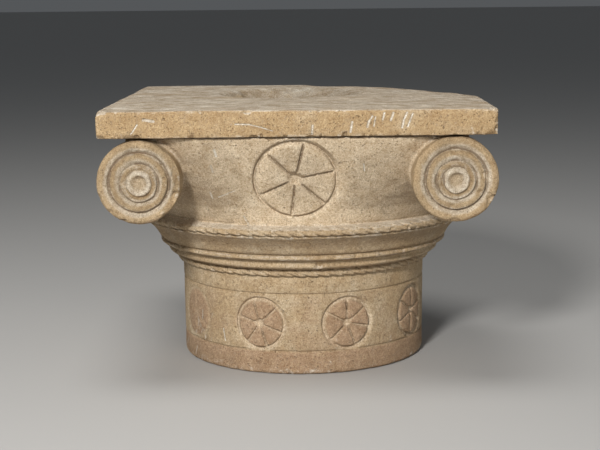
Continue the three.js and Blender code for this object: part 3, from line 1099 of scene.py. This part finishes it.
class Limestone:
    """Weathered limestone's shader: coats of colour, each a share of the surface and its colour."""

    def __init__(self, tree):
        self.tree = tree
        self.place = node(tree, "ShaderNodeTexCoord").outputs["Object"]
        self.height = self.axis(self.place, 2)
        self.up = self.axis(node(tree, "ShaderNodeNewGeometry").outputs["Normal"], 2)
        self.stain = stain_group()
        self.recess, self.edge = mask(tree, "recess"), mask(tree, "edge")
        self.skin, self.grit = mask(tree, "skin"), mask(tree, "grit")
        self.grain = noise(tree, self.place, 640.0, 4.0, 0.75)
        self.coarse = noise(tree, self.place, 250.0, 7.0, 0.8)
        self.blotch = noise(tree, self.place, 46.0, 6.0, 0.7, 0.3)
        self.slab = self.between(SLAB_FADE)
        self.slab_top = self.times(self.slab, self.step(self.up, 0.45, 0.9))
        self.holes = self.pits()
        self.scratches = self.scratched()

    def axis(self, vector, which):
        return node(self.tree, "ShaderNodeSeparateXYZ", {0: vector}).outputs[which]

    def times(self, *values):
        total = values[0]
        for value in values[1:]:
            total = maths(self.tree, "MULTIPLY", total, value)
        return total

    def most(self, *values):
        total = values[0]
        for value in values[1:]:
            total = maths(self.tree, "MAXIMUM", total, value)
        return total

    def spread(self, value, gain, base):
        return maths(self.tree, "MULTIPLY_ADD", value, gain, base)

    def step(self, value, low, high, start=0.0, end=1.0):
        return ramp(self.tree, value, low, high, start, end)

    def between(self, heights, start=0.0):
        low, high = heights
        return self.step(self.height, low * MM, high * MM, start)

    def stained(self, scale, cover, softness, where=None):
        inputs = {"Vector": where or self.place, "Scale": scale, "Cover": cover}
        inputs["Softness"] = softness
        return use_group(self.tree, self.stain, inputs).outputs[0]

    def pits(self):
        group = pits_group()
        made = [use_group(self.tree, group, {"Vector": self.place, **size}) for size in PIT_SIZES]
        return self.most(*(pit.outputs[0] for pit in made))

    def scratched(self):
        group = scratch_group()
        made = []
        for start, end, width in scratch_lines():
            inputs = {
                "Vector": self.place,
                "Start": [v * MM for v in start],
                "End": [v * MM for v in end],
                "Width": SCRATCH_WIDTH * width * MM,
                "Wobble": self.grain,
            }
            made.append(use_group(self.tree, group, inputs).outputs[0])
        return self.most(*made)

    def ground_coats(self):
        """The ochre skin, the paler drum with its ledge paled by dust and a painted highlight on its
        upward faces, and clean cuts.
        """
        deep = maths(self.tree, "ABSOLUTE", self.axis(self.place, 1))
        face = self.step(deep, *(v * MM for v in FACE_FADE))
        disc = self.times(face, self.between(DISC_FADE))
        patches = self.times(self.stained(scale=24.0, cover=0.52, softness=0.16), 0.6)
        # The ledge's upward faces are paled: dust, with a painted highlight where the light falls
        # from above.
        ledge = self.times(*map(self.between, LEDGE_FADES), self.step(self.up, 0.4, 0.8))
        drum = self.times(mask(self.tree, "drum"), self.between(DRUM_FADE))
        return [
            (self.times(self.skin, self.most(patches, self.times(disc, 0.65))), "ochre"),
            (self.times(drum, self.spread(self.blotch, 0.5, 0.58)), "drum"),
            (self.times(ledge, 0.6), "bruise_and_highlight"),
            (self.spread(self.skin, -0.75, 0.75), "drum"),
            (self.times(disc, self.spread(self.skin, -0.4, 0.4)), "bruise_and_highlight"),
        ]

    def slab_coats(self):
        """The slab's ochre sides and its dusty, streaked top."""
        patches = self.spread(self.stained(scale=26.0, cover=0.55, softness=0.1), 0.6, 0.5)
        stretch = {"Vector": self.place, "Scale": (0.45, 1.0, 1.0)}
        drawn = node(self.tree, "ShaderNodeMapping", stretch).outputs[0]
        streaks = self.stained(scale=75.0, cover=0.48, softness=0.12, where=drawn)
        brown = self.stained(scale=32.0, cover=0.4, softness=0.12, where=drawn)
        return [
            (self.times(self.slab, self.step(self.up, 0.75, 0.35), patches), "ochre"),
            (self.times(self.slab_top, 0.8), "grey"),
            (self.times(self.slab_top, streaks, 0.35), "bruise_and_highlight"),
            (self.times(self.slab_top, brown, 0.45), "ochre"),
        ]

    def neck_coats(self):
        """The neck's reddish bloom, strongest on its foot and on the rosettes' petals."""
        neck = self.between(NECK_FADE)
        bloom = self.times(neck, self.stained(scale=17.0, cover=0.46, softness=0.14), 0.5)
        foot = self.times(self.between(FOOT_FADE), 0.9)
        worn = self.spread(self.skin, 0.6, 0.3)
        petals = self.times(neck, self.between(PETAL_FADE), worn, mask(self.tree, "petal"))
        return [
            (self.most(bloom, foot, petals), "pink"),
            (self.times(mask(self.tree, "broken"), 0.5), "warm"),
        ]

    def earth_and_shade_coats(self):
        """Painted shade in the recesses, under overhangs and in the cuts, the recesses also holding
        some earth, and earth in specks and in the pits.
        """
        # Earth and painted shade in the recesses, kept off the faces that look up.
        held = self.times(self.step(self.recess, 0.42, 0.85), self.spread(self.coarse, 0.9, 0.45))
        held = self.times(held, self.step(self.up, 0.75, 0.2), 0.85)
        # Painted shade on the faces that look down, under the overhangs.
        under = self.times(self.step(self.up, -0.36, -0.7), 0.5)
        under = self.times(under, self.spread(self.blotch, 0.8, 0.6))
        # Painted shade on the steep walls of the cuts.
        cut = self.times(self.step(self.recess, 0.26, 0.55), self.step(self.skin, 0.8, 0.3))
        cut = self.times(cut, self.step(self.up, 0.5, 0.1), self.spread(self.coarse, 1.2, 0.2), 0.9)
        rough = self.most(self.grit, self.stained(scale=19.0, cover=0.48, softness=0.14))
        shown = self.times(self.spread(rough, 0.5, 0.24), self.spread(self.skin, 0.7, 0.3))
        specks = self.times(self.step(self.coarse, 0.5, 0.62), shown)
        return [
            (self.most(held, under, cut), "dirt_and_shade"),
            (specks, "ochre"),
            (self.times(specks, 0.45), "dirt_and_shade"),
            (self.times(self.holes, self.spread(self.skin, 0.3, 0.15)), "dirt_and_shade"),
            (self.times(self.step(self.coarse, 0.45, 0.36), 0.55), "bruise_and_highlight"),
        ]

    def marks(self):
        """Bruised edges, rubbed patches, the foot's chalky rim and scratches."""
        bruises = self.times(self.step(self.edge, 0.28, 0.7), self.between(BRUISE_FADE, 0.45))
        bruises = self.times(bruises, self.stained(scale=75.0, cover=0.48, softness=0.06), 0.85)
        rubs = self.times(self.stained(scale=34.0, cover=0.3, softness=0.04), self.skin, 0.55)
        rubs = self.times(rubs, self.stained(scale=150.0, cover=0.5, softness=0.08))
        chalk = self.stained(scale=60.0, cover=0.42, softness=0.08)
        chalk = self.times(self.between(CHALK_FADE), chalk, 0.6)
        return [(self.most(bruises, rubs, chalk, self.times(self.scratches, 0.85)), "bruise_and_highlight")]

    def tone(self):
        """How much lighter or darker each grain is, the darker ones being warmer."""
        tone = self.times(self.spread(self.grain, 2.2, -0.1), self.spread(self.coarse, 3.0, -0.5))
        tone = self.times(tone, self.spread(self.blotch, 0.9, 0.55))
        mottled = self.times(self.slab_top, self.spread(self.blotch, 1.3, -0.65))
        tone = self.times(tone, self.spread(mottled, 1.0, 1.0))
        parts = {0: self.spread(tone, 0.8, 0.2), 1: tone, 2: self.spread(tone, 1.25, -0.25)}
        return node(self.tree, "ShaderNodeCombineColor", parts).outputs[0]

    def relief(self):
        """The grain as a fine relief, with the pits and scratches sunk into it."""
        height = self.spread(self.coarse, 1.3, self.times(self.grain, 0.4))
        height = self.times(height, self.spread(self.grit, 1.6, 0.9))
        for sunk, depth in ((self.holes, 0.8), (self.scratches, 0.5)):
            height = maths(self.tree, "SUBTRACT", height, self.times(sunk, depth))
        inputs = {"Height": height, "Strength": 1.0, "Distance": BUMP_HEIGHT}
        return node(self.tree, "ShaderNodeBump", inputs).outputs[0]


def stone_material(colours):
    """Pale stone clouded with warmer stone, under the coats of its weathering."""
    material = bpy.data.materials.new("limestone")
    material.use_nodes = True
    tree = material.node_tree
    shader = tree.nodes["Principled BSDF"]
    stone = Limestone(tree)
    cloud = noise(tree, stone.place, 13.0, 7.0, 0.62, 0.5)
    colour = mix(tree, ramp(tree, cloud, 0.36, 0.64), colours.pale[:], colours.warm[:])
    coats = stone.ground_coats() + stone.slab_coats() + stone.neck_coats()
    for share, name in coats + stone.earth_and_shade_coats() + stone.marks():
        colour = mix(tree, share, colour, getattr(colours, name)[:])
    colour = mix(tree, 1.0, colour, stone.tone(), "MULTIPLY")
    tree.links.new(colour, shader.inputs["Base Color"])
    tree.links.new(stone.relief(), shader.inputs["Normal"])
    roughness = ramp(tree, stone.coarse, 0.2, 0.9, 0.82, 0.98)
    tree.links.new(roughness, shader.inputs["Roughness"])
    shader.inputs["Specular IOR Level"].default_value = 0.2
    return material


# ---- Stage ----

# Each soft light's name, place, width, share of the key light's power and what it is aimed at.
LIGHTS = (
    ("key_light", (-0.7, -2.62, 1.48), 0.45, 1.0, (0, 0, 0.2)),
    ("fill_light", (1.3, -2.6, 0.7), 1.4, 0.14, (0, 0, 0.2)),
    ("top_light", (-0.35, -0.5, 2.6), 1.2, 0.32, (0, 0, 0.3)),
)
LIGHT_TINT = (1, 0.98, 0.95)
AIR_TINT, AIR_STRENGTH = (0.9, 0.95, 1.0, 1), 0.1
FLOOR_REACH = 90.0


def floor_material(colour):
    material = bpy.data.materials.new("studio_floor")
    material.use_nodes = True
    shader = material.node_tree.nodes["Principled BSDF"]
    shader.inputs["Base Color"].default_value = (*colour, 1)
    shader.inputs["Roughness"].default_value = 0.85
    shader.inputs["Specular IOR Level"].default_value = 0.2
    return material


def soft_light(name, place, width, power, aim):
    """A round soft light, slightly warm."""
    data = bpy.data.lights.new(name, "AREA")
    data.shape = "DISK"
    data.size = width
    data.energy = power
    data.color = LIGHT_TINT
    lamp = bpy.data.objects.new(name, data)
    bpy.context.scene.collection.objects.link(lamp)
    lamp.location = place
    lamp.rotation_euler = (Vector(aim) - Vector(place)).to_track_quat("-Z", "Y").to_euler()
    return lamp


# ---- Settings ----


def colour_property(name, description, default):
    return bpy.props.FloatVectorProperty(
        name=name,
        description=description,
        default=(*default, 1.0),
        size=4,
        min=0,
        max=1,
        subtype="COLOR",
    )


def length_property(name, description, default):
    return bpy.props.FloatProperty(
        name=name, description=description, default=default, min=0, unit="LENGTH"
    )


def count_property(name, description, default):
    return bpy.props.IntProperty(name=name, description=description, default=default, min=1)


class CapitalSizes(bpy.types.PropertyGroup):
    great_rosette: length_property("Great rosette", "Radius of the drum's rosettes", 0.0526)
    great_rosette_depth: length_property(
        "Great rosette depth", "How deep the drum's rosettes are cut", 0.0054
    )
    neck_rosette: length_property("Neck rosette", "Radius of the neck's rosettes", 0.034)
    neck_rosette_depth: length_property(
        "Neck rosette depth", "How deep the neck's rosettes are cut", 0.0046
    )
    upper_strands: count_property("Upper strands", "Strands round the upper rope moulding", 86)
    lower_strands: count_property("Lower strands", "Strands round the lower rope moulding", 66)
    hollow_depth: length_property(
        "Hollow depth", "Depth of the rough hollow in the slab's top", 0.022
    )


class CapitalCarving(bpy.types.PropertyGroup):
    voxel: length_property("Carving step", "Spacing of the grid that the stone is carved on", 0.0015)
    triangles: count_property("Triangles", "Most triangles in the carved stone", 194000)


class CapitalColours(bpy.types.PropertyGroup):
    pale: colour_property("Pale stone", "Smooth carved limestone", (0.60, 0.485, 0.335))
    warm: colour_property("Warm stone", "Limestone in its yellower clouds", (0.53, 0.405, 0.26))
    ochre: colour_property("Ochre skin", "The old outer skin", (0.47, 0.325, 0.175))
    grey: colour_property("Grey top", "The slab's dusty top", (0.58, 0.5, 0.4))
    pink: colour_property("Pink bloom", "The neck's reddish bloom", (0.43, 0.285, 0.18))
    drum: colour_property("Drum", "Paler stone of the drum and its ledge", (0.70, 0.565, 0.40))
    # Earth in pits and specks, and the colour of the painted shade in recesses, under overhangs and
    # in the cuts.
    dirt_and_shade: colour_property("Dirt", "Earth held in recesses and pits", (0.17, 0.105, 0.055))
    # Also the colour of the painted highlight, with dust, on the ledge's upward faces.
    bruise_and_highlight: colour_property("Bruise", "Freshly bruised or scratched stone", (0.78, 0.71, 0.60))


class CapitalStage(bpy.types.PropertyGroup):
    floor: bpy.props.FloatVectorProperty(
        name="Floor", description="The floor's colour", default=(0.5, 0.495, 0.485), subtype="COLOR"
    )
    camera: bpy.props.FloatVectorProperty(
        name="Camera",
        description="Where the camera stands",
        default=(0.0294, -1.9654, 0.495),
        subtype="XYZ",
        unit="LENGTH",
    )
    tilt: bpy.props.FloatVectorProperty(
        name="Tilt",
        description="The camera's angle up from straight down, its roll and its turn",
        default=(math.radians(80.786), math.radians(-0.6), math.radians(0.884)),
        subtype="EULER",
        unit="ROTATION",
    )
    lens: bpy.props.FloatProperty(
        name="Lens", description="Focal length", default=82.63, unit="CAMERA"
    )
    key_power: bpy.props.FloatProperty(
        name="Key light",
        description="Power of the soft light at the upper left",
        default=76,
        unit="POWER",
    )


# ---- Operators ----


class CAPITAL_OT_carve_block(bpy.types.Operator):
    """Carves the capital from one block of limestone"""

    bl_idname = "capital.carve_block"
    bl_label = "Carve the block"

    def execute(self, context):
        settings = context.scene.capital_carving
        voxel = settings.voxel / MM
        block = Block(context.scene.capital_sizes)
        points, quads = carve(block, voxel)
        if not len(quads):
            raise RuntimeError("the carving left no stone")
        piece = mesh_from(block, points, quads, settings.triangles)
        mark_surface(piece, block)
        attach(piece, "root")
        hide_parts(NODE)
        return {"FINISHED"}


class CAPITAL_OT_dress_stone(bpy.types.Operator):
    """Gives the carved stone its weathered limestone finish"""

    bl_idname = "capital.dress_stone"
    bl_label = "Dress the stone"

    def execute(self, context):
        piece = bpy.data.objects.get(PIECE)
        if piece is None:
            raise RuntimeError("there is no carved block to dress")
        piece.data.materials.clear()
        piece.data.materials.append(stone_material(context.scene.capital_colours))
        return {"FINISHED"}


class CAPITAL_OT_set_stage(bpy.types.Operator):
    """Sets the floor, the soft lights and the camera"""

    bl_idname = "capital.set_stage"
    bl_label = "Set the stage"

    def execute(self, context):
        scene, stage = context.scene, context.scene.capital_stage
        mesh = bpy.data.meshes.new("studio_floor")
        corners = [(x * FLOOR_REACH, y * FLOOR_REACH, 0) for x in (-1, 1) for y in (-1, 1)]
        mesh.from_pydata(corners, [], [(0, 2, 3, 1)])
        floor = bpy.data.objects.new("studio_floor", mesh)
        mesh.materials.append(floor_material(stage.floor))
        scene.collection.objects.link(floor)
        for name, place, width, share, aim in LIGHTS:
            soft_light(name, place, width, share * stage.key_power, aim)
        world = bpy.data.worlds.new("studio_air")
        world.use_nodes = True
        air = world.node_tree.nodes["Background"]
        air.inputs["Color"].default_value = AIR_TINT
        air.inputs["Strength"].default_value = AIR_STRENGTH
        scene.world = world
        camera = bpy.data.objects.new("camera", bpy.data.cameras.new("camera"))
        scene.collection.objects.link(camera)
        camera.data.lens = stage.lens
        turn = Matrix.Rotation(stage.tilt[2], 3, "Z") @ Matrix.Rotation(stage.tilt[0], 3, "X")
        turn = turn @ Matrix.Rotation(stage.tilt[1], 3, "Z")
        camera.location = stage.camera
        camera.rotation_euler = turn.to_euler()
        scene.camera = camera
        scene.view_settings.view_transform = "Standard"
        return {"FINISHED"}


class CAPITAL_PT_panel(bpy.types.Panel):
    """Lists the steps that make the capital"""

    bl_idname = "CAPITAL_PT_panel"
    bl_label = "Ionic Capital"
    bl_space_type = "VIEW_3D"
    bl_region_type = "UI"
    bl_category = "Capital"

    def draw(self, context):
        layout, scene = self.layout, context.scene
        for operator in OPERATORS:
            layout.operator(operator.bl_idname)
        for group in SETTINGS:
            settings = getattr(scene, group)
            for name in settings.__annotations__:
                layout.prop(settings, name)


OPERATORS = (CAPITAL_OT_carve_block, CAPITAL_OT_dress_stone, CAPITAL_OT_set_stage)
SETTINGS = {
    "capital_sizes": CapitalSizes,
    "capital_carving": CapitalCarving,
    "capital_colours": CapitalColours,
    "capital_stage": CapitalStage,
}
CLASSES = (*SETTINGS.values(), *OPERATORS, CAPITAL_PT_panel)


def register():
    for made in CLASSES:
        bpy.utils.register_class(made)
    for name, group in SETTINGS.items():
        setattr(bpy.types.Scene, name, bpy.props.PointerProperty(type=group))


def unregister():
    for name in SETTINGS:
        delattr(bpy.types.Scene, name)
    for made in reversed(CLASSES):
        bpy.utils.unregister_class(made)


def main():
    register()
    bpy.ops.capital.carve_block()
    bpy.ops.capital.dress_stone()
    bpy.ops.capital.set_stage()


if __name__ == "__main__":
    main()
